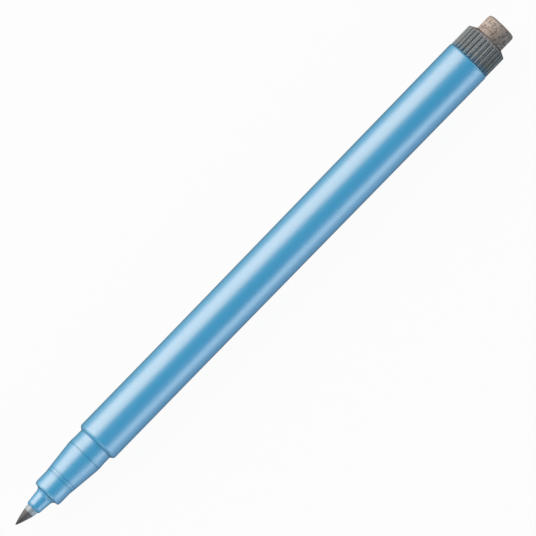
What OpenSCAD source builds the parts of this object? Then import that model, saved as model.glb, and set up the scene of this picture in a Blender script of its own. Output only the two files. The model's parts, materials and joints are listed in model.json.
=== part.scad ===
// Erasable fibre-tip marker with an eraser in its rear end, uncapped and lying on its side.
// Every piece is drawn along +Z from the writing point, then laid down along +X.
// The origin is on the table under the middle of the marker.

/* [Barrel] */
// Diameter of the straight grip stretch behind the shoulder
grip_d = 8.7; // [8.3:0.05:8.9]
// Length of the straight grip stretch
grip_len = 19; // [8:1:40]
// Diameter of the barrel at its rear edge, after the draft
barrel_rear_d = 9.1; // [8.9:0.05:10]
// Length of the barrel from the foot of its shoulder to its rear edge
barrel_len = 99.2; // [80:0.1:120]
// Length of the sloping shoulder that stops the cap
shoulder_len = 0.55; // [0.3:0.05:1.5]
// Rounding where the shoulder meets the grip
shoulder_edge_r = 0.3; // [0.05:0.05:0.6]
// Rounding of the barrel's rear edge
barrel_edge_r = 0.15; // [0.05:0.05:0.3]
// Diameter of the main bore
barrel_bore_d = 7.2; // [6.8:0.05:7.4]
// Number of ribs in the main bore that hold the reservoir
bore_rib_count = 6; // [3:1:8]
// Height of those ribs
bore_rib_h = 0.38; // [0.2:0.02:0.6]
// Width of those ribs
bore_rib_w = 0.8; // [0.4:0.1:1.4]

/* [Front section] */
// Wall of the nose cone at its front edge, before the bevel
nose_edge = 0.22; // [0.21:0.01:0.4]
// How much the nose cone's radius grows along its length
nose_flare = 0.38; // [0.1:0.02:0.5]
// Length of the nose cone in front of the collar
nose_len = 3.8; // [2.5:0.1:5]
// Depth of the bevel on the nose cone's front edge
nose_bevel = 0.19; // [0.05:0.01:0.2]
// Length of that bevel
nose_bevel_len = 0.5; // [0.1:0.05:1]
// Fillet between the nose cone and the collar's face
nose_fillet_r = 0.7; // [0.2:0.05:0.8]
// Diameter of the collar
collar_d = 6.05; // [5.7:0.05:6.4]
// Length of the collar
collar_len = 3.3; // [2:0.1:6]
// Height of the oval rounding of the collar's front edge
collar_edge_h = 0.3; // [0.1:0.05:0.45]
// Length of that rounding along the collar
collar_edge_len = 0.7; // [0.1:0.05:1.2]
// Height of the flare where the taper starts
flare_h = 0.1; // [0.02:0.01:0.2]
// Length of that flare
flare_len = 0.6; // [0.1:0.05:1.5]
// Length of the taper from the collar to the snap crest
taper_len = 6.9; // [4:0.1:10]
// Height of the snap crest above the cap seat
crest_h = 0.08; // [0.02:0.01:0.15]
// Length of the slope behind the crest
crest_fall = 1.5; // [0.3:0.1:2]
// Diameter of the cap seat
seat_d = 7.35; // [6.9:0.05:7.6]
// Length of the straight cap seat
seat_len = 1.45; // [1:0.05:4]
// Bevel of the seat's rear edge, which leaves a fine groove at the barrel's mouth
seat_bevel = 0.12; // [0.04:0.01:0.2]
// Diameter of the spigot inside the barrel
section_spigot_d = 6.3; // [5.8:0.05:6.5]
// Length of that spigot
section_spigot_len = 8; // [6:0.5:12]
// Wall of the spigot
section_wall = 0.8; // [0.6:0.05:1]
// Wall of the hollow collar
collar_wall = 1.1; // [0.8:0.05:1.3]
// Thickness behind the collar's face, in front of the hollow
bulkhead_len = 1.5; // [1:0.1:3]
// Number of fins that centre the nib sleeve
fin_count = 4; // [3:1:6]
// Thickness of those fins
fin_t = 0.5; // [0.3:0.05:0.7]
// Number of vent grooves along the nose bore
vent_count = 3; // [2:1:4]
// Width of a vent groove
vent_w = 0.35; // [0.2:0.05:0.5]
// Depth of a vent groove
vent_depth = 0.08; // [0.04:0.01:0.12]

/* [Snap ring] */
// Distance of the snap ring behind the shoulder's foot
snap_pos = 4.5; // [3:0.1:5]
// Width of the snap ring on the spigot
snap_w = 1; // [0.6:0.1:1.6]
// Height of the snap ring
snap_h = 0.12; // [0.06:0.01:0.2]

/* [Nib] */
// Diameter of the fibre nib
nib_d = 2.1; // [1.6:0.05:2.1]
// Distance from the writing point back to the nose cone
nib_out = 4.15; // [3.9:0.05:6]
// Length of the ground point
nib_point_len = 3.2; // [2.5:0.05:3.3]
// Fullness of the point: 1 is a plain cone, and less is rounder
nib_fullness = 0.75; // [0.5:0.05:1]
// Depth of the nib's tail in the ink reservoir
nib_dip = 6; // [3:0.5:12]
// Bevel at the end of the tail
nib_bevel = 0.3; // [0.1:0.05:0.5]
// Wall of the clear sleeve round the nib
sleeve_wall = 0.12; // [0.1:0.01:0.22]
// Length of the sleeve that shows in front of the nose cone
sleeve_out = 0.8; // [0.4:0.05:1]
// Depth of the bevel at the sleeve's front lip
sleeve_bevel = 0.08; // [0.04:0.01:0.09]
// Length of that bevel
sleeve_bevel_len = 0.6; // [0.1:0.05:0.8]
// Distance from the sleeve's rear end to the reservoir's stop
sleeve_short = 2; // [1:0.1:4]

/* [Ink reservoir] */
// Wall of the film wrapped round the ink fibres
film_wall = 0.12; // [0.08:0.01:0.25]
// Space left in the fibres behind the nib's tail
pocket_spare = 0.5; // [0.2:0.1:2]

/* [End plug] */
// Diameter over the flutes of the head
head_d = 8.9; // [8.6:0.05:9]
// Length of the head behind the barrel
head_len = 5.5; // [4:0.1:8]
// Length of the sloping rim at the head's rear
rim_len = 0.7; // [0.4:0.05:1.5]
// Width of the flat land round the eraser
rim_land = 0.05; // [0.05:0.05:0.4]
// Length of the plain neck next to the barrel
neck_len = 0.1; // [0.1:0.05:0.6]
// How far the neck lies below the floors of the flutes
neck_drop = 0.05; // [0.03:0.01:0.25]
// Number of flutes round the head
flute_count = 30; // [20:2:32]
// Radius of a flute
flute_r = 0.42; // [0.35:0.01:0.5]
// Depth of a flute
flute_depth = 0.22; // [0.1:0.01:0.26]
// Diameter over the sealing beads of the plug's spigot
plug_spigot_d = 7.5; // [7.4:0.05:7.7]
// Length of that spigot
plug_spigot_len = 10; // [8:0.5:16]
// Height of a sealing bead
bead_h = 0.12; // [0.05:0.01:0.2]
// Width of a sealing bead
bead_w = 1; // [0.6:0.1:1.4]
// Distance between the sealing beads
bead_pitch = 3; // [2:0.1:3.5]
// Distance from the head to the first sealing bead
bead_start = 1.5; // [1:0.1:2]
// Wall of the spigot in front of the plug's floor
plug_wall = 0.8; // [0.6:0.05:1.2]
// Thickness of the floor between the eraser and the ink chamber
plug_floor = 1; // [0.8:0.1:2]
// Number of air notches in the spigot's front edge
notch_count = 3; // [2:1:4]
// Width of an air notch
notch_w = 1.2; // [0.6:0.1:2]
// Depth of an air notch
notch_len = 1; // [0.5:0.1:2]
// Bevel that leads the spigot into the barrel
lead_in = 0.4; // [0.2:0.05:0.6]

/* [Eraser] */
// Diameter of the eraser
eraser_d = 6.15; // [5.4:0.05:6.2]
// Length of the eraser that shows behind the plug
eraser_out = 3.55; // [2:0.05:6]
// Depth of the eraser in its socket
eraser_depth = 6.5; // [4:0.1:7.5]
// Rounding of the eraser's working edge
eraser_edge_r = 0.6; // [0.1:0.05:0.8]
// Bevel at the eraser's inner end
eraser_bevel = 0.3; // [0.1:0.05:0.5]

/* [Fits] */
// Radial clearance of pieces that are pressed together
fit_clear = 0.02; // [0.01:0.005:0.03]
// Radial clearance of pieces that pull out
slide_clear = 0.03; // [0.02:0.005:0.05]
// End gap between pieces that butt
butt_gap = 0.05; // [0.02:0.01:0.1]
// Overhang of the barrel's mouth outside the cap seat
mouth_lip = 0.08; // [0.02:0.01:0.12]
// How far a rib or fin is rooted in its wall
root = 0.25; // [0.15:0.05:0.3]
// How far the front section's tail stands in the main bore
tail_stand = 0.3; // [0.2:0.1:0.6]

/* [Hidden] */
$fn = 96;
arc_steps = 8;
point_steps = 14;
over = 0.5;

shell_blue = "#5fb1de";
clear_grey = "#d5dcde";
ink_grey = "#3b3b3d";
fibre_grey = "#6d6f73";
film_white = "#eef1f3";
plug_grey = "#5a5f61";
felt_brown = "#94867c";

// Levels along the marker, counted from the writing point
z_nose = nib_out;
z_collar = z_nose + nose_len;
z_taper = z_collar + collar_len;
z_crest = z_taper + taper_len;
z_seat = z_crest + crest_fall;
z_mouth = z_seat + seat_len;
z_stop = z_mouth + section_spigot_len;
z_rear = z_mouth + barrel_len;
z_plug = z_rear - plug_spigot_len;
z_rim = z_rear + head_len;
marker_len = z_rim + eraser_out;
z_bore = z_stop - tail_stand;
z_counterbore = z_plug - butt_gap;
z_ink = z_stop + butt_gap;
z_ink_end = z_plug - 2 * butt_gap;
z_nib_end = z_ink + nib_dip;
z_sleeve = z_nose - sleeve_out;
z_sleeve_end = z_stop - sleeve_short;
z_socket = z_rim - eraser_depth;
z_floor = z_socket - plug_floor;
z_snap = z_mouth + snap_pos;
z_hollow = z_collar + bulkhead_len;

// Radii that follow from the driving sizes
grip_r = grip_d / 2;
rear_r = barrel_rear_d / 2;
bore_r = barrel_bore_d / 2;
seat_r = seat_d / 2;
crest_r = seat_r + crest_h;
collar_r = collar_d / 2;
mouth_r = seat_r + mouth_lip;
section_r = section_spigot_d / 2;
section_bore_r = section_r - section_wall;
collar_bore_r = collar_r - collar_wall;
nib_r = nib_d / 2;
sleeve_bore_r = nib_r + slide_clear;
sleeve_r = sleeve_bore_r + sleeve_wall;
nose_bore_r = sleeve_r + fit_clear;
nose_front_r = nose_bore_r + nose_edge;
nose_rear_r = nose_front_r + nose_flare;
barrel_socket_r = section_r + fit_clear;
film_r = bore_r - bore_rib_h - fit_clear;
film_bore_r = film_r - film_wall;
core_r = film_bore_r - fit_clear;
head_r = head_d / 2;
neck_r = head_r - flute_depth - neck_drop;
bead_r = plug_spigot_d / 2;
plug_bore_r = bead_r + slide_clear;
spigot_r = bead_r - bead_h;
eraser_r = eraser_d / 2;
socket_r = eraser_r + slide_clear;
rim_r = socket_r + rim_land;
rest_r = max(rear_r, grip_r, head_r);
shoulder_angle = atan2(grip_r - mouth_r, shoulder_len);
z_grip = z_mouth + shoulder_len + shoulder_edge_r * tan(shoulder_angle / 2);

// Points of an oval arc in the (radius, level) plane, with its reach out from the axis and along it
function oval(centre, out, along, from, to) = [
    for (i = [0 : arc_steps])
        let (a = from + (to - from) * i / arc_steps)
        centre + [out * cos(a), along * sin(a)]
];

// Points of a round arc in the same plane
function arc(centre, r, from, to) = oval(centre, r, r, from, to);

// A ring with sloping flanks, standing h proud of radius r, as the points of an outline
function ring(r, h, middle, w) = [
    [r, middle - w / 2],
    [r + h, middle - w / 4],
    [r + h, middle + w / 4],
    [r, middle + w / 2]
];

// The same ring read from its rear to its front, for the inside of a wall
function ring_back(r, h, middle, w) = [
    for (i = [3 : -1 : 0]) ring(r, h, middle, w)[i]
];

// Lays a piece drawn along +Z down on the table, with the writing point towards -X
module lay_down() {
    translate([-marker_len / 2, 0, rest_r])
        rotate([0, 90, 0])
            children();
}

// Repeats a feature evenly round the axis
module round_axis(count) {
    for (i = [0 : count - 1])
        rotate(360 * i / count)
            children();
}

module barrel_wall() {
    rotate_extrude()
        polygon(concat(
            [[barrel_socket_r, z_mouth], [mouth_r, z_mouth]],
            arc([grip_r - shoulder_edge_r, z_grip], shoulder_edge_r, -shoulder_angle, 0),
            [[grip_r, z_mouth + grip_len]],
            arc([rear_r - barrel_edge_r, z_rear - barrel_edge_r], barrel_edge_r, 0, 90),
            [[plug_bore_r, z_rear], [plug_bore_r, z_counterbore]],
            [[bore_r, z_counterbore], [bore_r, z_bore], [barrel_socket_r, z_bore]],
            ring_back(barrel_socket_r, snap_h, z_snap, snap_w + 2 * fit_clear)
        ));
}

module bore_ribs() {
    round_axis(bore_rib_count)
        translate([bore_r - bore_rib_h, -bore_rib_w / 2, z_bore + tail_stand + 2 * butt_gap])
            cube([bore_rib_h + root, bore_rib_w, z_counterbore - z_bore - tail_stand - 4 * butt_gap]);
}

module barrel() {
    color(shell_blue)
        lay_down()
            union() {
                barrel_wall();
                bore_ribs();
            }
}

module section_shell() {
    bevel_end_r = nose_front_r + nose_flare * nose_bevel_len / nose_len;
    edge_centre = [collar_r - collar_edge_h, z_collar + collar_edge_len];
    rotate_extrude()
        polygon(concat(
            [[nose_bore_r, z_nose], [nose_front_r - nose_bevel, z_nose]],
            [[bevel_end_r, z_nose + nose_bevel_len]],
            arc([nose_rear_r + nose_fillet_r, z_collar - nose_fillet_r], nose_fillet_r, 180, 90),
            oval(edge_centre, collar_edge_h, collar_edge_len, -90, 0),
            [[collar_r, z_taper], [collar_r + flare_h, z_taper + flare_len]],
            [[crest_r, z_crest], [seat_r, z_seat], [seat_r, z_mouth - seat_bevel]],
            [[seat_r - seat_bevel, z_mouth], [section_r, z_mouth]],
            ring(section_r, snap_h - fit_clear, z_snap, snap_w),
            [[section_r, z_stop], [section_bore_r, z_stop]],
            [[section_bore_r, z_crest], [collar_bore_r, z_hollow], [nose_bore_r, z_hollow]]
        ));
}

module guide_fins() {
    fin_len = z_sleeve_end - z_seat;
    round_axis(fin_count)
        translate([sleeve_r + fit_clear, -fin_t / 2, z_seat])
            cube([section_bore_r + root - sleeve_r - fit_clear, fin_t, fin_len]);
}

module vent_grooves() {
    round_axis(vent_count)
        translate([0, -vent_w / 2, z_nose - over])
            cube([nose_bore_r + vent_depth, vent_w, nose_len + bulkhead_len + 2 * over]);
}

module front_section() {
    color(shell_blue)
        lay_down()
            union() {
                difference() {
                    section_shell();
                    vent_grooves();
                }
                guide_fins();
            }
}

module nib_sleeve() {
    color(clear_grey)
        lay_down()
            rotate_extrude()
                polygon([
                    [sleeve_bore_r, z_sleeve],
                    [sleeve_r - sleeve_bevel, z_sleeve],
                    [sleeve_r, z_sleeve + sleeve_bevel_len],
                    [sleeve_r, z_sleeve_end],
                    [sleeve_bore_r, z_sleeve_end]
                ]);
}

module nib() {
    color(ink_grey)
        lay_down()
            rotate_extrude()
                polygon(concat(
                    [for (i = [0 : point_steps])
                        let (s = pow(i / point_steps, 2))
                        [nib_r * pow(s, nib_fullness), nib_point_len * s]],
                    [[nib_r, z_nib_end - nib_bevel], [nib_r - nib_bevel, z_nib_end], [0, z_nib_end]]
                ));
}

module ink_reservoir() {
    color(fibre_grey)
        lay_down()
            difference() {
                translate([0, 0, z_ink])
                    cylinder(r = core_r, h = z_ink_end - z_ink);
                translate([0, 0, z_ink - over])
                    cylinder(r = sleeve_bore_r, h = nib_dip + pocket_spare + over);
            }
}

module reservoir_film() {
    color(film_white)
        lay_down()
            translate([0, 0, z_ink])
                difference() {
                    cylinder(r = film_r, h = z_ink_end - z_ink);
                    translate([0, 0, -over])
                        cylinder(r = film_bore_r, h = z_ink_end - z_ink + 2 * over);
                }
}

module plug_shell() {
    cavity_r = spigot_r - plug_wall;
    rotate_extrude()
        polygon(concat(
            [[cavity_r, z_plug], [spigot_r - lead_in, z_plug], [spigot_r, z_plug + lead_in]],
            ring(spigot_r, bead_h, z_rear - bead_start - bead_pitch, bead_w),
            ring(spigot_r, bead_h, z_rear - bead_start, bead_w),
            [[spigot_r, z_rear], [neck_r, z_rear], [neck_r, z_rear + neck_len]],
            [[head_r, z_rear + neck_len], [head_r, z_rim - rim_len]],
            [[rim_r, z_rim], [socket_r, z_rim], [socket_r, z_socket]],
            [[0, z_socket], [0, z_floor], [cavity_r, z_floor]]
        ));
}

// The flutes lie between ribs, with one rib straight up
module flutes() {
    rotate(180 / flute_count)
        round_axis(flute_count)
            translate([head_r + flute_r - flute_depth, 0, z_rear + neck_len / 2])
                cylinder(r = flute_r, h = head_len, $fn = 32);
}

module air_notches() {
    round_axis(notch_count)
        translate([0, -notch_w / 2, z_plug - over])
            cube([bead_r + over, notch_w, notch_len + over]);
}

module end_plug() {
    color(plug_grey)
        lay_down()
            difference() {
                plug_shell();
                flutes();
                air_notches();
            }
}

module eraser() {
    color(felt_brown)
        lay_down()
            rotate_extrude()
                polygon(concat(
                    [[0, z_socket + butt_gap], [eraser_r - eraser_bevel, z_socket + butt_gap]],
                    [[eraser_r, z_socket + butt_gap + eraser_bevel]],
                    arc([eraser_r - eraser_edge_r, marker_len - eraser_edge_r], eraser_edge_r, 0, 90),
                    [[0, marker_len]]
                ));
}

barrel();
front_section();
nib_sleeve();
nib();
ink_reservoir();
reservoir_film();
end_plug();
eraser();
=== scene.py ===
import json
import math
import bmesh
import bpy
from mathutils import Matrix, Vector, noise


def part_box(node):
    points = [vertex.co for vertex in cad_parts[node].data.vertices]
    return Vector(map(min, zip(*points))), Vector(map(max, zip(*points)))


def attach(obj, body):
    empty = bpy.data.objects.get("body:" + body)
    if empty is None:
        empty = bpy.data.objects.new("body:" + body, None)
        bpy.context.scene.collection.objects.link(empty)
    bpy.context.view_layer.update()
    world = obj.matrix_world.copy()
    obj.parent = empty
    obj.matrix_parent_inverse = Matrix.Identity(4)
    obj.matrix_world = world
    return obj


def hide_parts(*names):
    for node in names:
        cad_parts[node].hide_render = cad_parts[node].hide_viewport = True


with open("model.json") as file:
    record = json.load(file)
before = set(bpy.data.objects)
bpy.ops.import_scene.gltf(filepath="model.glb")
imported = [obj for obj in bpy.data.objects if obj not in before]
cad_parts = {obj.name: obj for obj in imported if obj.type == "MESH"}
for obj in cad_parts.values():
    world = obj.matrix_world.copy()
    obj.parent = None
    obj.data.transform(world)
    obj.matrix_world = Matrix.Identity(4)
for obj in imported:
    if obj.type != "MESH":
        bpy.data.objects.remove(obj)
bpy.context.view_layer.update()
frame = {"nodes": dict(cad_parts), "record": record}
mm = 0.001
tiny = 1e-7


def nodeSpan(node):  # where a CAD node starts and ends along the marker
    low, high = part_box(node)
    return low.x, high.x


def nodeRadius(node):
    low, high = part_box(node)
    return (high.z - low.z) / 2


axisZ = nodeRadius("barrel")  # height of the marker's axis over the table
tipX, tailX = nodeSpan("nib")
sleeveX, sleeveEndX = nodeSpan("nib_sleeve")
noseX, sectionEndX = nodeSpan("front_section")
mouthX, rearX = nodeSpan("barrel")
inkX, inkEndX = nodeSpan("ink_reservoir")
plugX, rimX = nodeSpan("end_plug")
eraserX, endX = nodeSpan("eraser")
fits = {"slide": 0.03 * mm, "press": 0.02 * mm}  # gaps round pieces that pull out, and that stay put
print("frame loaded:", ", ".join(sorted(frame["nodes"])))


def srgb(red, green, blue):  # a colour as picked on screen, 0 to 255, to what a shader takes
    parts = [c / 255 for c in (red, green, blue)]
    return [c / 12.92 if c <= 0.04045 else ((c + 0.055) / 1.055) ** 2.4 for c in parts] + [1.0]


# A socket in a shader tree that can be used in sums
class Wire:
    def __init__(self, tree, socket=None):
        self.tree = tree
        self.socket = socket

    def node(self, kind, settings=None, inputs=None, out=0):
        made = self.tree.nodes.new(kind)
        for key, value in (settings or {}).items():
            if key == "stops":
                setStops(made.color_ramp, value)
            else:
                setattr(made, key, value)
        for key, value in (inputs or {}).items():
            if isinstance(value, Wire):
                self.tree.links.new(value.socket, made.inputs[key])
            else:
                made.inputs[key].default_value = value
        return Wire(self.tree, made.outputs[out] if made.outputs else None)

    def math(self, operation, first, second):
        return self.node("ShaderNodeMath", {"operation": operation}, {0: first, 1: second})

    def __add__(self, other):
        return self.math("ADD", self, other)

    def __radd__(self, other):
        return self.math("ADD", other, self)

    def __sub__(self, other):
        return self.math("SUBTRACT", self, other)

    def __rsub__(self, other):
        return self.math("SUBTRACT", other, self)

    def __mul__(self, other):
        return self.math("MULTIPLY", self, other)

    def __rmul__(self, other):
        return self.math("MULTIPLY", other, self)

    def place(self):  # where a point lies on its piece
        return self.node("ShaderNodeTexCoord", out="Object")

    def axis(self, name):  # one of the three measures of a place
        return self.node("ShaderNodeSeparateXYZ", None, {0: self}, out=name)

    def drawnOut(self, share):  # a place squeezed along the marker, so that its clouds come out long
        factors = {0: self, 1: (share, 1, 1)}
        return self.node("ShaderNodeVectorMath", {"operation": "MULTIPLY"}, factors)

    def noise(self, size, detail=2.0, roughness=0.5):  # clouds of about that size, in metres
        values = {"Vector": self, "Scale": 1 / size, "Detail": detail, "Roughness": roughness}
        return self.node("ShaderNodeTexNoise", {"noise_dimensions": "3D"}, values)

    def wear(self):  # rubbed wear and painted shade that an outline's corners leave on the mesh
        return self.node("ShaderNodeAttribute", {"attribute_name": "wear"}, out="Fac")

    def swing(self, reach):  # a cloud's rise and fall round zero
        return (self - 0.5) * reach

    def clamped(self):
        return self.node("ShaderNodeClamp", None, {0: self})

    def mix(self, first, second):  # this value picks between two colours
        picks = {0: self, 6: first, 7: second}
        return self.node("ShaderNodeMix", {"data_type": "RGBA"}, picks, out=2)

    def ramp(self, *stops):  # (place, grey) pairs
        greys = [(place, (grey, grey, grey, 1)) for place, grey in stops]
        return self.node("ShaderNodeValToRGB", {"stops": greys}, {0: self})

    def bump(self, strength, distance):
        values = {"Height": self, "Strength": strength, "Distance": distance}
        return self.node("ShaderNodeBump", None, values)

    def skin(self, values):
        return self.node("ShaderNodeBsdfPrincipled", None, values)

    def blend(self, share, first, second):  # two shaders, with that share of the second
        return self.node("ShaderNodeMixShader", None, {0: share, 1: first, 2: second})

    def surface(self, shader):
        self.node("ShaderNodeOutputMaterial", None, {"Surface": shader})


def setStops(ramp, stops):
    while len(ramp.elements) < len(stops):
        ramp.elements.new(1)
    for element, (place, colour) in zip(ramp.elements, stops):
        element.position = place
        element.color = colour


def newFinish(name):  # an empty material, and its tree as a wire
    material = bpy.data.materials.new(name)
    material.use_nodes = True
    material.node_tree.nodes.clear()
    return material, Wire(material.node_tree)


# Outlines are lists of (x, radius, rounding, wear) corners, turned round the marker's axis
# Above zero that value is rubbed plastic, below zero painted shade
def rounded(corners, row, arcStep=math.radians(9)):
    path = []
    for i, (x, r, fillet, wear) in enumerate(corners):
        here = Vector((x, r))
        if fillet == 0:
            path.append((here, wear))
            continue
        toLast = (Vector(corners[i - 1][:2]) - here).normalized()
        toNext = (Vector(corners[(i + 1) % len(corners)][:2]) - here).normalized()
        half = toLast.angle(toNext) / 2
        reach = fillet / math.tan(half)
        centre = here + (toLast + toNext).normalized() * fillet / math.sin(half)
        first, last = here + toLast * reach - centre, here + toNext * reach - centre
        sweep = math.pi - 2 * half
        steps = max(2, math.ceil(sweep / arcStep))
        for k in range(steps + 1):
            share = k / steps
            spoke = first * math.sin((1 - share) * sweep) + last * math.sin(share * sweep)
            path.append((centre + spoke / math.sin(sweep), wear * math.sin(math.pi * share)))
    return spaced(path, row)


def oval(x, r, length, height, steps=12):  # corners that rise from a face into a wall, steep first
    made = []
    for k in range(steps + 1):
        sweep = math.pi / 2 * k / steps
        ahead, rise = length * (1 - math.cos(sweep)), height * math.sin(sweep)
        made.append((x + ahead, r + rise, 0, math.sin(2 * sweep)))  # rubbed most halfway
    return made


def spaced(path, row):  # splits long straight runs into rows
    made = []
    for (here, wear), (after, _) in zip(path, path[1:] + path[:1]):
        made.append((here.x, here.y, wear))
        if max(here.y, after.y) < tiny:
            continue  # along the axis itself
        count = math.ceil((after - here).length / row)
        for k in range(1, count):
            spot = here.lerp(after, k / count)
            made.append((spot.x, spot.y, 0))
    return made


def lathe(path, turns, bend=None):
    work = bmesh.new()
    wearAndShadeLayer = work.verts.layers.float.new("wear")
    rings = []
    for x, r, wear in path:
        ring = []
        for k in range(1 if r < tiny else turns):
            turn = math.tau * k / turns  # counted from the table's side, as in the CAD
            bentX, bentR = bend(x, r, turn) if bend else (x, r)
            vert = work.verts.new((bentX, bentR * math.sin(turn), axisZ - bentR * math.cos(turn)))
            vert[wearAndShadeLayer] = wear
            ring.append(vert)
        rings.append(ring)
    for near, far in zip(rings, rings[1:] + rings[:1]):
        if len(near) == 1 and len(far) == 1:
            continue  # both ends of the outline lie on the axis
        for k in range(turns):
            after = (k + 1) % turns
            spots = ((near, k), (near, after), (far, after), (far, k))
            loop = [side[j % len(side)] for side, j in spots]
            work.faces.new(list(dict.fromkeys(loop)))  # a triangle beside the axis
    bmesh.ops.recalc_face_normals(work, faces=work.faces)
    return work


def addPiece(name, work, material, node, crease=38):
    mesh = bpy.data.meshes.new(name)
    work.to_mesh(mesh)
    work.free()
    mesh.materials.append(material)
    mesh.shade_smooth()
    mesh.set_sharp_from_angle(angle=math.radians(crease))
    piece = bpy.data.objects.new(name, mesh)
    bpy.context.scene.collection.objects.link(piece)
    evenNormals = piece.modifiers.new("evenNormals", "WEIGHTED_NORMAL")
    evenNormals.keep_sharp = True
    bodies = frame["record"]["behaviour"]["bodies"]
    body = next(key for key, nodes in bodies.items() if node in nodes)
    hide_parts(node)
    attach(piece, body)
    print("made", name, len(mesh.polygons), "faces on", body)


def nearest(turn, count, phase=0.0):  # angle to the nearest of a ring of evenly spaced features
    pitch = math.tau / count
    return (turn - phase * pitch + pitch / 2) % pitch - pitch / 2


def softMin(first, second, width):  # the smaller of two lengths, blended over a width
    if abs(first - second) >= width:
        return min(first, second)
    share = 0.5 + 0.5 * (second - first) / width
    return second * (1 - share) + first * share - width * share * (1 - share)


clearSkin = {"weight": 1.0, "ior": 1.01}  # hardly shines, only its tint shows, which paints shade towards glancing edges


def sheenPlastic(wire, look, colour, rough, relief, share):  # plastic with bright flakes in it
    plastic = wire.skin({
        "Base Color": colour,
        "Roughness": rough,
        "Specular IOR Level": look["gloss"],
        "Coat Weight": clearSkin["weight"],
        "Coat IOR": clearSkin["ior"],
        "Coat Tint": look["edgeShadeTint"],
        "Normal": relief,
    })
    flakes = wire.skin({
        "Base Color": look["sheen"],
        "Metallic": 1.0,
        "Specular Tint": look["sheenEdge"],
        "Roughness": rough,
        "Normal": relief,
    })
    return wire.blend(share, plastic, flakes)


# Satin light blue plastic with pearl flakes in it, for the barrel and the front section
blueShell = {
    "colour": srgb(46, 154, 199),
    "flowColour": srgb(54, 160, 205),
    "scuffColour": srgb(126, 190, 224),
    # colour of the painted shade in seams, bevels and scored lines
    "paintedShadeColour": srgb(36, 130, 169),
    "gloss": 0.04,
    "edgeShadeTint": (0.77, 0.77, 0.77, 1.0),  # a tinted clear skin that paints shade towards the edges
    "sheen": (1.0, 0.796, 0.646, 1.0),
    "sheenEdge": (0.0, 0.0, 0.0, 1.0),  # flakes turn dark at a glancing angle
    "sheenShare": 0.114,
    "shadeSheenLoss": 0.55,  # how much of the sheen is lost where shade is painted
    "roughness": 0.4,
    "flowSize": 3 * mm,
    "flowDraw": 0.12,  # drawn out along the mould
    "flowRough": 0.1,
    "grainSize": 0.12 * mm,
    "grainRough": 0.06,
    "grainRelief": 0.4,  # the rest of the relief is flow
    "bump": (0.06, 0.05 * mm),
    "scuffSize": 0.5 * mm,
    "scuffStops": ((0.5, 0), (0.68, 1)),
    "scuffShare": 0.6,
    "scuffRough": 0.12,
}


def makeBlueShell(name):
    look = blueShell
    material, wire = newFinish(name)
    # worn is rubbed wear above zero and painted shade below zero
    place, worn = wire.place(), wire.wear()
    flow = place.drawnOut(look["flowDraw"]).noise(look["flowSize"], detail=3)
    grain = place.noise(look["grainSize"], detail=3)
    specks = place.noise(look["scuffSize"], detail=4).ramp(*look["scuffStops"])
    scuff = worn * specks * look["scuffShare"]
    # painted shade: darker blue and less sheen where the corners are below zero
    paintedShade = (worn * -1.0).clamped()
    colour = flow.mix(look["colour"], look["flowColour"])
    colour = scuff.mix(colour, look["scuffColour"])
    colour = paintedShade.mix(colour, look["paintedShadeColour"])
    rough = look["roughness"] + flow.swing(look["flowRough"]) + grain.swing(look["grainRough"])
    rough = rough + scuff * look["scuffRough"]
    relief = (grain * look["grainRelief"] + flow * (1 - look["grainRelief"])).bump(*look["bump"])
    share = look["sheenShare"] - paintedShade * (look["sheenShare"] * look["shadeSheenLoss"])
    wire.surface(sheenPlastic(wire, look, colour, rough, relief, share))
    return material


# Long tube whose shoulder rises in a steep slope and then a gentle one
barrelTube = {
    "socketR": 3.17 * mm,
    "socketLength": 7.7 * mm,
    "mouthR": 3.7 * mm,
    "slopeLength": 0.4 * mm,
    "slopeR": 4.23 * mm,
    "slopeEdge": 0.15 * mm,
    "slopeScuff": 0.4,
    "shoulderLength": 0.68 * mm,  # both slopes
    "shoulderEdge": 0.35 * mm,
    "gripR": 4.35 * mm,
    "gripLength": 19 * mm,
    "rearR": nodeRadius("barrel"),
    "rearFall": 0.08 * mm,  # the rear edge rolls in
    "rearLength": 0.28 * mm,
    "rearEdge": 0.4 * mm,
    "rearEdgeShade": 0.3,
    "lip": 0.06 * mm,
    "jointShade": 1.0,
    "lipScuff": 0.5,  # where the plug goes in
    "plugBoreR": 3.78 * mm,
    "plugBoreLength": 10.05 * mm,
    "boreR": 3.6 * mm,
    "ribCount": 6,
    "ribHeight": 0.38 * mm,
    "ribWidth": 0.8 * mm,
    "ribGap": 0.1 * mm,
    "ribEdge": 0.06 * mm,
    "turns": 192,  # faces round the axis
    "row": 1.5 * mm,  # longest face along it
}


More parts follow.
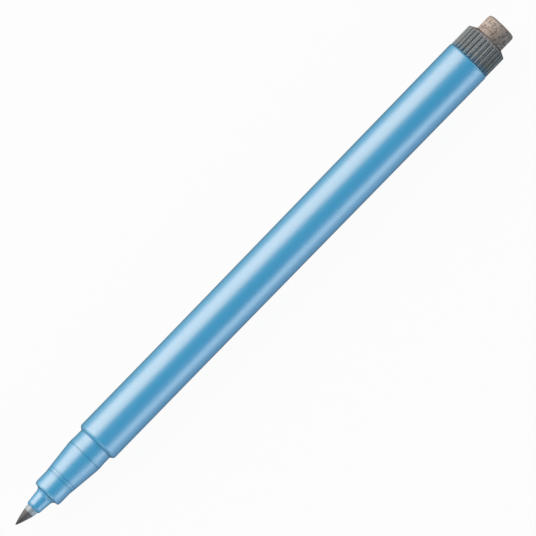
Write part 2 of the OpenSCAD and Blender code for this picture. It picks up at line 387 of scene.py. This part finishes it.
def makeBarrel(material):
    tube = barrelTube
    counterX, boreX = rearX - tube["plugBoreLength"], mouthX + tube["socketLength"]
    ribX, ribEndX = inkX + tube["ribGap"], counterX - tube["ribGap"]
    corners = [
        (mouthX, tube["socketR"], 0, 0),
        (mouthX, tube["mouthR"], tube["lip"], 0),
        (mouthX + tube["slopeLength"], tube["slopeR"], tube["slopeEdge"], tube["slopeScuff"]),
        (mouthX + tube["shoulderLength"], tube["gripR"], tube["shoulderEdge"], 0),
        (mouthX + tube["gripLength"], tube["gripR"], 0, 0),
        # painted shade where the rear edge rolls in towards the plug
        (rearX - tube["rearLength"], tube["rearR"], tube["rearEdge"], -tube["rearEdgeShade"]),
        (rearX, tube["rearR"] - tube["rearFall"], tube["lip"], -tube["jointShade"]),
        (rearX, tube["plugBoreR"], tube["lip"], tube["lipScuff"]),
        (counterX, tube["plugBoreR"], 0, 0),
        (counterX, tube["boreR"], 0, 0),
        (ribEndX, tube["boreR"], 0, 0),
        (ribEndX - tube["ribEdge"], tube["boreR"], 0, 0),
        (ribX + tube["ribEdge"], tube["boreR"], 0, 0),
        (ribX, tube["boreR"], 0, 0),
        (boreX, tube["boreR"], 0, 0),
        (boreX, tube["socketR"], 0, 0),
    ]

    def ribbed(x, r, turn):
        onRib = abs(nearest(turn, tube["ribCount"])) * tube["boreR"] < tube["ribWidth"] / 2
        inBore = abs(r - tube["boreR"]) < tiny and ribX + tiny < x < ribEndX - tiny
        return x, r - tube["ribHeight"] if onRib and inBore else r

    work = lathe(rounded(corners, tube["row"]), tube["turns"], ribbed)
    addPiece("barrelTube", work, material, "barrel")


# Stepped nose: cone, collar, taper with fine scored lines, crest and cap seat
frontSection = {
    "noseBoreR": nodeRadius("nib_sleeve") + fits["press"],
    "noseWall": 0.22 * mm,
    "noseFlare": 0.38 * mm,
    "noseLength": 3.9 * mm,
    "noseBack": 0.2 * mm,  # the front edge is worn back
    "noseBevel": 0.19 * mm,
    "noseBevelLength": 0.35 * mm,
    "noseFillet": 0.9 * mm,
    "noseBevelShade": 0.8,
    "collarR": 3.025 * mm,
    "collarLength": 3.2 * mm,
    "collarEdgeHeight": 0.3 * mm,
    "collarEdgeLength": 0.75 * mm,
    "flareHeight": 0.1 * mm,
    "flareLength": 0.6 * mm,
    "taperLength": 6.9 * mm,
    "lineWidth": 0.5 * mm,
    "lineFloor": 0.22 * mm,
    "lines": (  # place behind the flare, depth and painted shade
        (-0.12 * mm, 0.025 * mm, 0.55),
        (0.56 * mm, 0.015 * mm, 0.5),
    ),
    "crestR": nodeRadius("front_section"),
    "crestFall": 1.5 * mm,
    "crestEdge": 0.04 * mm,
    "crestLine": (0.03 * mm, 0.6),  # depth and painted shade
    "seatR": 3.675 * mm,
    "seatBevel": 0.02 * mm,
    "edge": 0.03 * mm,
    "spigotR": 3.15 * mm,
    "hollowR": 2.35 * mm,
    "collarHollowR": 1.925 * mm,
    "bulkhead": 1.5 * mm,
    "ventCount": 3,
    "ventWidth": 0.35 * mm,
    "ventDepth": 0.08 * mm,
    "turns": 180,
    "row": 0.5 * mm,
}


def makeFrontSection(material):
    front = frontSection
    collarX = noseX + front["noseLength"]
    taperX = collarX + front["collarLength"]
    crestX = taperX + front["taperLength"]
    hollowX = collarX + front["bulkhead"]
    flareX, flareR = taperX + front["flareLength"], front["collarR"] + front["flareHeight"]
    taperSlope = (front["crestR"] - flareR) / (crestX - flareX)
    noseFrontR = front["noseBoreR"] + front["noseWall"]
    noseSlope = front["noseFlare"] / front["noseLength"]
    frontX = noseX + front["noseBack"]
    bevelX = frontX + front["noseBevelLength"]
    cleanX = bevelX + front["noseBevelLength"]  # the painted shade ends here
    wide, floor = front["lineWidth"] / 2, front["lineFloor"] / 2
    lineSteps = ((-wide, 0), (-floor, 1), (floor, 1), (wide, 0))

    def noseR(x):
        return noseFrontR + noseSlope * (x - noseX)

    def taperR(x):
        return flareR + taperSlope * (x - flareX)

    corners = [
        (frontX, front["noseBoreR"], 0, 0),
        # painted shade on the nose's front bevel
        (frontX, noseFrontR - front["noseBevel"], 0, -front["noseBevelShade"]),
        (bevelX, noseR(bevelX), 0, -front["noseBevelShade"] / 2),
        (cleanX, noseR(cleanX), 0, 0),
        (collarX, noseFrontR + front["noseFlare"], front["noseFillet"], 0),
    ]
    edgeR = front["collarR"] - front["collarEdgeHeight"]
    corners += oval(collarX, edgeR, front["collarEdgeLength"], front["collarEdgeHeight"])
    corners.append((taperX, front["collarR"], front["edge"], 0))
    # painted shade in the scored lines and behind the crest, which also dims their sheen
    for place, depth, paintedShade in front["lines"]:
        for step, share in lineSteps:
            lineX = flareX + place + step
            corners.append((lineX, taperR(lineX) - depth * share, 0, -paintedShade * share))
    depth, paintedShade = front["crestLine"]
    for step, share in lineSteps:
        corners.append((crestX + step, front["crestR"] - depth * share, 0, -paintedShade * share))
    corners += [
        (crestX + front["crestFall"], front["seatR"], front["crestEdge"], 0),
        (mouthX - front["seatBevel"], front["seatR"], front["edge"], 0),
        (mouthX, front["seatR"] - front["seatBevel"], 0, 0),
        (mouthX, front["spigotR"], 0, 0),
        (sectionEndX, front["spigotR"], 0, 0),
        (sectionEndX, front["hollowR"], 0, 0),
        (crestX, front["hollowR"], 0, 0),
        (hollowX, front["collarHollowR"], 0, 0),
        (hollowX, front["noseBoreR"], 0, 0),
    ]

    def vented(x, r, turn):
        onVent = abs(nearest(turn, front["ventCount"])) * front["noseBoreR"] < front["ventWidth"] / 2
        return x, r + front["ventDepth"] if onVent and r < front["noseBoreR"] + tiny else r

    work = lathe(rounded(corners, front["row"]), front["turns"], vented)
    addPiece("frontSection", work, material, "front_section")


# Thin translucent tube that shows as a pale ring behind the point
nibSleeve = {
    "boreR": nodeRadius("nib") + fits["slide"],
    "outerR": nodeRadius("nib_sleeve"),
    "bevel": 0.08 * mm,
    "bevelLength": 0.6 * mm,
    "lip": 0.01 * mm,
    "turns": 96,
    "row": 1 * mm,
    "colour": srgb(142, 150, 154),
    "shade": srgb(118, 128, 133),
    "roughness": 0.2,
    "cloudSize": 0.4 * mm,
    "cloudDraw": 0.3,
    "cloudRough": 0.15,
    "bump": (0.05, 0.02 * mm),
    "milkShare": 0.3,  # light that spreads inside the wall
    "milkRadius": (0.4, 0.4, 0.4),
    "milkDepth": 1 * mm,
}


def makeClearSleeve():
    sleeve = nibSleeve
    material, wire = newFinish("clearSleeve")
    cloud = wire.place().drawnOut(sleeve["cloudDraw"]).noise(sleeve["cloudSize"], detail=3)
    wire.surface(wire.skin({
        "Base Color": cloud.mix(sleeve["colour"], sleeve["shade"]),
        "Roughness": sleeve["roughness"] + cloud.swing(sleeve["cloudRough"]),
        "Subsurface Weight": sleeve["milkShare"],
        "Subsurface Radius": sleeve["milkRadius"],
        "Subsurface Scale": sleeve["milkDepth"],
        "Normal": cloud.bump(*sleeve["bump"]),
    }))
    return material


def makeSleeve(material):
    sleeve = nibSleeve
    corners = [
        (sleeveX, sleeve["boreR"], 0, 0),
        (sleeveX, sleeve["outerR"] - sleeve["bevel"], sleeve["lip"], 0),
        (sleeveX + sleeve["bevelLength"], sleeve["outerR"], sleeve["lip"], 0),
        (sleeveEndX, sleeve["outerR"], 0, 0),
        (sleeveEndX, sleeve["boreR"], 0, 0),
    ]
    work = lathe(rounded(corners, sleeve["row"]), sleeve["turns"])
    addPiece("nibSleeve", work, material, "nib_sleeve")


# Bonded fibre nib, soaked dark at the point
nibFibre = {
    "radius": nodeRadius("nib"),
    "pointLength": 3.2 * mm,
    "fullness": 0.75,  # under 1 the point bulges
    "bevel": 0.3 * mm,
    "worn": 0.16 * mm,  # the point is written off to one side
    "wornCurve": 0.75,  # under 1 that reaches further up the point
    "pointRows": 40,
    "turns": 96,
    "row": 1 * mm,
    "point": srgb(32, 31, 33),
    "base": srgb(66, 64, 65),
    "soakLength": 3 * mm,
    "soakStops": ((0.1, 0), (1, 1)),
    "streak": srgb(112, 108, 106),
    "streakStops": ((0.5, 0), (0.75, 1)),
    "streakShare": 0.5,
    "roughness": 0.5,
    "fibreSize": 0.16 * mm,
    "fibreDraw": 0.06,
    "fibreTangle": 0.6,
    "fibreRough": 0.3,
    "bump": (0.35, 0.05 * mm),
}


def makeInkedNib():
    nib = nibFibre
    material, wire = newFinish("inkedNib")
    place = wire.place()
    fibres = place.drawnOut(nib["fibreDraw"]).noise(nib["fibreSize"], 4, nib["fibreTangle"])
    wet = ((place.axis("X") - tipX) * (1 / nib["soakLength"])).ramp(*nib["soakStops"])
    streaks = fibres.ramp(*nib["streakStops"]) * wet * nib["streakShare"]
    colour = streaks.mix(wet.mix(nib["point"], nib["base"]), nib["streak"])
    wire.surface(wire.skin({
        "Base Color": colour,
        "Roughness": nib["roughness"] + fibres.swing(nib["fibreRough"]),
        "Normal": fibres.bump(*nib["bump"]),
    }))
    return material


def makeNib(material):
    nib = nibFibre
    path = []
    for k in range(nib["pointRows"] + 1):
        share = (k / nib["pointRows"]) ** 2  # rows lie closer towards the point
        spot = Vector((tipX + nib["pointLength"] * share, nib["radius"] * share ** nib["fullness"]))
        path.append((spot, 0))
    path.append((Vector((tailX - nib["bevel"], nib["radius"])), 0))
    path.append((Vector((tailX, nib["radius"] - nib["bevel"])), 0))
    path.append((Vector((tailX, 0)), 0))
    work = lathe(spaced(path, nib["row"]), nib["turns"])
    for vert in work.verts:
        near = max(1 - (vert.co.x - tipX) / nib["pointLength"], 0)
        vert.co.y += nib["worn"] * near ** nib["wornCurve"]
    addPiece("nibFibre", work, material, "nib")


# Ink-soaked fibre rod
inkRod = {
    "radius": nodeRadius("ink_reservoir"),
    "pocketR": nodeRadius("nib") + fits["slide"],
    "pocketDepth": 6.5 * mm,
    "edge": 0.1 * mm,
    "turns": 128,
    "row": 3 * mm,
    "colour": srgb(92, 92, 97),
    "dark": srgb(52, 52, 58),
    "darkStops": ((0.35, 0), (0.65, 1)),
    "roughness": 0.8,
    "fibreSize": 0.18 * mm,
    "fibreDraw": 0.05,
    "fibreTangle": 0.65,
    "fibreRough": 0.2,
    "bump": (0.5, 0.08 * mm),
}


def makeInkFibre():
    rod = inkRod
    material, wire = newFinish("inkFibre")
    fibres = wire.place().drawnOut(rod["fibreDraw"]).noise(rod["fibreSize"], 4, rod["fibreTangle"])
    wire.surface(wire.skin({
        "Base Color": fibres.ramp(*rod["darkStops"]).mix(rod["dark"], rod["colour"]),
        "Roughness": rod["roughness"] + fibres.swing(rod["fibreRough"]),
        "Normal": fibres.bump(*rod["bump"]),
    }))
    return material


def makeInkRod(material):
    rod = inkRod
    corners = [
        (inkX + rod["pocketDepth"], 0, 0, 0),
        (inkX + rod["pocketDepth"], rod["pocketR"], 0, 0),
        (inkX, rod["pocketR"], 0, 0),
        (inkX, rod["radius"], rod["edge"], 0),
        (inkEndX, rod["radius"], rod["edge"], 0),
        (inkEndX, 0, 0, 0),
    ]
    work = lathe(rounded(corners, rod["row"]), rod["turns"])
    addPiece("inkRod", work, material, "ink_reservoir")


# White film round that rod
filmWrap = {
    "boreR": nodeRadius("ink_reservoir") + fits["press"],
    "outerR": nodeRadius("reservoir_film"),
    "turns": 128,
    "row": 3 * mm,
    "colour": srgb(236, 240, 241),
    "shade": srgb(222, 228, 231),
    "roughness": 0.25,
    "creaseSize": 4 * mm,
    "creaseDraw": 0.3,
    "creaseRough": 0.2,
    "bump": (0.1, 0.1 * mm),
}


def makeWrapFilm():
    film = filmWrap
    material, wire = newFinish("wrapFilm")
    crease = wire.place().drawnOut(film["creaseDraw"]).noise(film["creaseSize"], detail=4)
    wire.surface(wire.skin({
        "Base Color": crease.mix(film["colour"], film["shade"]),
        "Roughness": film["roughness"] + crease.swing(film["creaseRough"]),
        "Normal": crease.bump(*film["bump"]),
    }))
    return material


def makeFilm(material):
    film = filmWrap
    corners = [
        (inkX, film["boreR"], 0, 0),
        (inkX, film["outerR"], 0, 0),
        (inkEndX, film["outerR"], 0, 0),
        (inkEndX, film["boreR"], 0, 0),
    ]
    work = lathe(rounded(corners, film["row"]), film["turns"])
    addPiece("filmWrap", work, material, "reservoir_film")


# Dark grey plug with a fluted head and a dull sheen
endPlug = {
    "cavityR": 2.83 * mm,
    "spigotR": 3.63 * mm,
    "leadIn": 0.4 * mm,
    "beadR": 3.75 * mm,
    "beadWidth": 1 * mm,
    "beadTop": 0.5 * mm,
    "beadPlaces": (4.5 * mm, 1.5 * mm),  # in front of the head
    "neckR": 4.18 * mm,
    "neckLength": 0.1 * mm,
    "headR": nodeRadius("end_plug"),
    "rimLength": 0.7 * mm,
    "rimLand": 0.05 * mm,
    "socketR": nodeRadius("eraser") + fits["slide"],
    "socketDepth": 6.5 * mm,
    "floor": 1 * mm,
    "fluteCount": 30,
    "fluteR": 0.42 * mm,
    "fluteDepth": 0.26 * mm,
    "flutePhase": 0.82,  # share of a flute that the head is turned by
    "fluteSoftness": 0.06 * mm,
    "fluteShade": 0.35,
    "notchCount": 3,
    "notchWidth": 1.2 * mm,
    "notchDepth": 1 * mm,
    "notchSpread": 0.02,  # share of their spacing that rows keep on a notch's floor
    "edge": 0.06 * mm,
    "turnsPerFlute": 18,
    "row": 0.4 * mm,
    "crease": 50,
    "colour": srgb(115, 121, 125),
    "cloud": srgb(103, 109, 113),
    "cloudSize": 1.2 * mm,
    "cloudRough": 0.15,
    "grainSize": 0.09 * mm,
    "grainRough": 0.1,
    "bump": (0.15, 0.04 * mm),
    "scuffColour": srgb(226, 216, 211),
    "scuffSize": 0.4 * mm,
    "scuffStops": ((0.42, 0), (0.7, 1)),
    "scuffShare": 0.6,
    "rimStops": ((0, 0), (0.2, 0.9)),  # the sloping rim is paler all round
    "reflectedBlueShade": srgb(20, 95, 128),  # painted shade and painted reflection of the blue barrel, beside it
    "reflectedBlueLength": 1.25 * mm,
    "reflectedBlueStops": ((0, 0), (0.02, 0.9), (0.2, 0.9), (1, 0)),
    "paintedShadeSide": srgb(92, 87, 68),  # painted shade, warm against the cool fill light, on the side turned from the key light
    "paintedShadeStops": ((0.5, 0), (0.95, 0.75)),
    "paintedShadeSpread": 0.3,
    "paintedShadeSheenLoss": 0.3,  # how much of the sheen is lost under the painted shade
    "fluteShadeColour": srgb(54, 51, 43),
    "gloss": 0.04,
    # a tinted clear skin that paints shade towards the edges
    "edgeShadeTint": (0.6, 0.6, 0.6, 1.0),
    "sheen": (0.95, 0.98, 1.0, 1.0),
    "sheenEdge": (0.0, 0.0, 0.0, 1.0),
    "sheenShare": 0.055,
    "roughness": 0.42,
}


def makeGreyPlug():
    plug = endPlug
    material, wire = newFinish("greyPlug")
    place, worn = wire.place(), wire.wear()
    grain = place.noise(plug["grainSize"], detail=3)
    cloud = place.noise(plug["cloudSize"], detail=3)
    specks = place.noise(plug["scuffSize"], detail=4).ramp(*plug["scuffStops"])
    scuff = worn * specks * plug["scuffShare"]
    along, side = place.axis("X"), place.axis("Y") * (0.5 / plug["headR"])
    # painted shade on the side turned from the key light
    paintedShadeSide = (0.5 - side + cloud.swing(plug["paintedShadeSpread"])).ramp(*plug["paintedShadeStops"])
    toneMask = ((along - rimX) * (1 / plug["rimLength"]) + 1).ramp(*plug["rimStops"])
    # painted shade and painted reflection of the barrel on the plug's start
    reflectedBlueShade = ((along - rearX) * (1 / plug["reflectedBlueLength"])).ramp(*plug["reflectedBlueStops"])
    colour = cloud.mix(plug["colour"], plug["cloud"])
    # a paler sloping rim, and pale scuffs at worn corners
    for mask in (toneMask, scuff):
        colour = mask.mix(colour, plug["scuffColour"])
    colour = paintedShadeSide.mix(colour, plug["paintedShadeSide"])
    # worn is below zero only in the flutes, where shade is painted
    colour = (worn * -1.0).mix(colour, plug["fluteShadeColour"])
    colour = reflectedBlueShade.mix(colour, plug["reflectedBlueShade"])
    rough = plug["roughness"] + cloud.swing(plug["cloudRough"]) + grain.swing(plug["grainRough"])
    share = plug["sheenShare"] - paintedShadeSide * (plug["sheenShare"] * plug["paintedShadeSheenLoss"])
    wire.surface(sheenPlastic(wire, plug, colour, rough, grain.bump(*plug["bump"]), share))
    return material


def makePlug(material):
    plug = endPlug
    flatX = rearX + plug["neckLength"]  # where the flutes start
    coneX = rimX - plug["rimLength"]
    rimR = plug["socketR"] + plug["rimLand"]
    floorX = rimX - plug["socketDepth"]
    spigotR, beadR = plug["spigotR"], plug["beadR"]
    foot, top = plug["beadWidth"] / 2, plug["beadTop"] / 2
    beadSteps = ((-foot, spigotR), (-top, beadR), (top, beadR), (foot, spigotR))
    corners = [
        (plugX, plug["cavityR"], 0, 0),
        (plugX, spigotR - plug["leadIn"], 0, 0),
        (plugX + plug["leadIn"], spigotR, 0, 0),
    ]
    for ahead in plug["beadPlaces"]:
        for step, r in beadSteps:
            corners.append((rearX - ahead + step, r, plug["edge"], 0))
    corners += [
        (rearX, spigotR, 0, 0),
        (rearX, plug["neckR"], 0, 0),
        (flatX, plug["neckR"], 0, 0),
        (flatX, plug["headR"], plug["edge"], 1),
        (coneX, plug["headR"], plug["edge"], 1),
        (rimX, rimR, plug["rimLand"] / 2, 1),
        (rimX, plug["socketR"], 0, 0),
        (floorX, plug["socketR"], 0, 0),
        (floorX, 0, 0, 0),
        (floorX - plug["floor"], 0, 0, 0),
        (floorX - plug["floor"], plug["cavityR"], 0, 0),
    ]
    notchX = plugX + plug["notchDepth"]
    notchHalf = plug["notchWidth"] / 2 / spigotR

    def flutedAndNotched(x, r, turn):
        if x > rearX + tiny and r > rimR:
            across = nearest(turn, plug["fluteCount"], plug["flutePhase"]) * plug["headR"]
            chord = max(plug["fluteR"] ** 2 - across ** 2, 0) ** 0.5
            floor = plug["headR"] - plug["fluteDepth"] + plug["fluteR"] - chord
            return x, softMin(r, floor, plug["fluteSoftness"])
        if x < notchX and abs(nearest(turn, plug["notchCount"])) < notchHalf:
            return notchX - plug["notchSpread"] * (notchX - x), r
        return x, r

    turns = plug["fluteCount"] * plug["turnsPerFlute"]
    work = lathe(rounded(corners, plug["row"]), turns, flutedAndNotched)
    wearAndShadeLayer = work.verts.layers.float["wear"]
    for vert in work.verts:
        if flatX < vert.co.x < coneX:  # painted shade, darker towards the flutes' floors
            low = (plug["headR"] - math.hypot(vert.co.y, vert.co.z - axisZ)) / plug["fluteDepth"]
            vert[wearAndShadeLayer] -= min(max(low, 0), 1) * plug["fluteShade"]
    addPiece("endPlug", work, material, "end_plug", plug["crease"])


# Pressed felt eraser, mottled and a little rough
eraserRod = {
    "radius": nodeRadius("eraser"),
    "edge": 0.6 * mm,
    "bevel": 0.3 * mm,
    "pitDepth": 0.07 * mm,
    "pitSize": 0.5 * mm,
    "nubDepth": 0.03 * mm,
    "nubSize": 0.16 * mm,
    "smoothLength": 0.3 * mm,  # from the socket's smooth seat to full felt
    "turns": 220,
    "row": 0.1 * mm,
    "crease": 180,
    "pale": srgb(166, 152, 143),
    "tan": srgb(138, 124, 114),
    "tanStops": ((0.43, 0), (0.57, 1)),
    "tanMotes": 0.6,  # the rest comes from the patches
    "moteSize": 0.45 * mm,
    "moteTangle": 0.65,
    "patchSize": 2.2 * mm,
    "fibreSize": 0.09 * mm,
    "fibreTangle": 0.7,
    "fibreRough": 0.1,
    "fibreRelief": 0.5,  # the rest of the relief is motes
    "bump": (0.6, 0.12 * mm),
    "dark": srgb(72, 66, 63),
    "darkStops": ((0.4, 1), (0.5, 0)),
    "darkMotes": 0.55,  # the rest comes from the fibres
    "paintedShadeSide": srgb(124, 113, 104),  # painted shade on the side turned from the key light
    "paintedShadeDark": srgb(64, 57, 53),
    "paintedShadeWidth": 6 * mm,
    "paintedShadeMotes": 1.6,
    "paintedShadePatch": 0.8,
    "paintedShadeStops": ((0.45, 0), (0.62, 0.85)),
    "paintedShadeDarkStops": ((0.4, 0), (0.58, 1)),
    "gloss": 0.25,
    "roughness": 0.92,
}


def makeEraserFelt():
    felt = eraserRod
    material, wire = newFinish("eraserFelt")
    place = wire.place()
    motes = place.noise(felt["moteSize"], 5, felt["moteTangle"])
    fibres = place.noise(felt["fibreSize"], 3, felt["fibreTangle"])
    patch = place.noise(felt["patchSize"])
    mottle = (motes * felt["tanMotes"] + patch * (1 - felt["tanMotes"])).ramp(*felt["tanStops"])
    side = place.axis("Y") * (1 / felt["paintedShadeWidth"])
    # painted shade, darker on the side turned from the key light
    toneMask = 0.5 - side + motes.swing(felt["paintedShadeMotes"]) + patch.swing(felt["paintedShadePatch"])
    paintedShadeSide = motes.ramp(*felt["paintedShadeDarkStops"]).mix(felt["paintedShadeDark"], felt["paintedShadeSide"])
    colour = toneMask.ramp(*felt["paintedShadeStops"]).mix(mottle.mix(felt["tan"], felt["pale"]), paintedShadeSide)
    specks = (motes * felt["darkMotes"] + fibres * (1 - felt["darkMotes"])).ramp(*felt["darkStops"])
    relief = fibres * felt["fibreRelief"] + motes * (1 - felt["fibreRelief"])
    wire.surface(wire.skin({
        "Base Color": specks.mix(colour, felt["dark"]),
        "Roughness": felt["roughness"] + fibres.swing(felt["fibreRough"]),
        "Specular IOR Level": felt["gloss"],
        "Normal": relief.bump(*felt["bump"]),
    }))
    return material


def makeEraser(material):
    felt = eraserRod
    corners = [
        (eraserX, 0, 0, 0),
        (eraserX, felt["radius"] - felt["bevel"], 0, 0),
        (eraserX + felt["bevel"], felt["radius"], 0, 0),
        (endX, felt["radius"], felt["edge"], 0),
        (endX, 0, 0, 0),
    ]
    work = lathe(rounded(corners, felt["row"]), felt["turns"])
    work.normal_update()
    for vert in work.verts:
        shows = min(max((vert.co.x - rimX) / felt["smoothLength"], 0), 1)
        pit = max(noise.noise(vert.co / felt["pitSize"]), 0) * felt["pitDepth"]
        nub = (noise.noise(vert.co / felt["nubSize"]) + 1) / 2 * felt["nubDepth"]
        vert.co -= vert.normal * shows * (pit + nub)
    addPiece("eraserRod", work, material, "eraser", felt["crease"])


makeBarrel(makeBlueShell("blueShell"))
makeFrontSection(makeBlueShell("blueSection"))
makeSleeve(makeClearSleeve())
makeNib(makeInkedNib())
makeInkRod(makeInkFibre())
makeFilm(makeWrapFilm())
makePlug(makeGreyPlug())
makeEraser(makeEraserFelt())

# White table, seen as paper white with the marker's soft shadow left on it
tableTop = {
    "colour": (0.47, 0.47, 0.47, 1),
    "white": (1, 1, 1, 1),
    "whiteStrength": 1.0,
    "whiteShare": 0.95,
    "radius": 6.0,
    "sides": 96,
}


def makeTable():
    material, wire = newFinish("tableTop")
    seen = wire.node("ShaderNodeLightPath", out="Is Camera Ray")
    for rays in ("Is Glossy Ray", "Is Transmission Ray"):
        seen = seen + wire.node("ShaderNodeLightPath", out=rays)
    matte = wire.node("ShaderNodeBsdfDiffuse", None, {"Color": tableTop["colour"]})
    glow = {"Color": tableTop["white"], "Strength": tableTop["whiteStrength"]}
    white = wire.node("ShaderNodeEmission", None, glow)
    wire.surface(wire.blend(seen * tableTop["whiteShare"], matte, white))
    work = bmesh.new()
    bmesh.ops.create_circle(work, cap_ends=True, segments=tableTop["sides"], radius=tableTop["radius"])
    mesh = bpy.data.meshes.new("tableTop")
    work.to_mesh(mesh)
    work.free()
    mesh.materials.append(material)
    top = bpy.data.objects.new("tableTop", mesh)
    bpy.context.scene.collection.objects.link(top)
    print("table laid, white share", tableTop["whiteShare"])


makeTable()

# Softboxes along both sides of the marker and at both its ends, in a dim room
warm, cool, plain = (1, 0.98, 0.95), (0.76, 1, 1.22), (0.98, 1, 1.03)
softboxes = {  # degrees round the marker and above the table, and metres
    "keyBox": {"turn": 93, "rise": 30.5, "size": (0.9, 1.42), "radiance": 5.4, "colour": warm},
    "fillBox": {"turn": -88, "rise": 15, "size": (0.95, 0.64), "radiance": 4.2, "colour": cool},
    "pointBox": {"turn": -150, "rise": 29, "size": (0.8, 0.7), "radiance": 1.8, "colour": plain},
    "tipBox": {"turn": 146, "rise": 8.5, "size": (0.7, 0.28), "radiance": 4.5, "colour": warm},
    "endBox": {"turn": -30, "rise": 22, "size": (0.8, 0.7), "radiance": 1.7, "colour": plain},
}
room = {"colour": (1, 1, 1, 1), "strength": 0.073, "boxDistance": 1.0}


def makeLights():
    for name, box in softboxes.items():
        width, height = box["size"]
        lamp = bpy.data.lights.new(name, "AREA")
        lamp.shape = "RECTANGLE"
        lamp.size = width
        lamp.size_y = height
        lamp.color = box["colour"]
        lamp.energy = box["radiance"] * math.pi * width * height
        turn, rise = math.radians(box["turn"]), math.radians(box["rise"])
        level = math.cos(rise)
        out = Vector((math.cos(turn) * level, math.sin(turn) * level, math.sin(rise)))
        holder = bpy.data.objects.new(name, lamp)
        facing = out.to_track_quat("Z", "Y").to_matrix().to_4x4()
        holder.matrix_world = Matrix.Translation(out * room["boxDistance"]) @ facing
        holder.visible_camera = False
        bpy.context.scene.collection.objects.link(holder)
    world = bpy.data.worlds.new("room")
    world.use_nodes = True
    backdrop = world.node_tree.nodes["Background"]
    backdrop.inputs["Color"].default_value = room["colour"]
    backdrop.inputs["Strength"].default_value = room["strength"]
    bpy.context.scene.world = world
    bpy.context.scene.view_settings.view_transform = "Standard"
    print("lit by", ", ".join(softboxes))


makeLights()

# Far camera over the marker, turned so that it lies across the picture from corner to corner
shot = {
    "distance": 2.2,
    "frameWidth": 99.3 * mm,
    "lean": 3.3,  # degrees that the eraser end leans away
    "roll": 45.78,  # degrees that the marker climbs to the right
    "aim": (2.06 * mm, -0.18 * mm),
    "sensor": 36,
    "reach": 20,
}


def makeCamera():
    camera = bpy.data.cameras.new("shot")
    camera.sensor_width = shot["sensor"]
    camera.lens = shot["sensor"] * shot["distance"] / shot["frameWidth"]
    camera.clip_end = shot["reach"]
    lean, roll = math.radians(shot["lean"]), math.radians(shot["roll"])
    back = Vector((-math.sin(lean), 0, math.cos(lean)))
    along = Vector((math.cos(lean), 0, math.sin(lean)))
    across = back.cross(along)
    right = along * math.cos(roll) - across * math.sin(roll)
    up = along * math.sin(roll) + across * math.cos(roll)
    aim = Vector((*shot["aim"], axisZ))
    holder = bpy.data.objects.new("shot", camera)
    turned = Matrix((right, up, back)).transposed().to_4x4()
    holder.matrix_world = Matrix.Translation(aim + back * shot["distance"]) @ turned
    bpy.context.scene.collection.objects.link(holder)
    bpy.context.scene.camera = holder
    print("camera lens", round(camera.lens), "mm")


makeCamera()
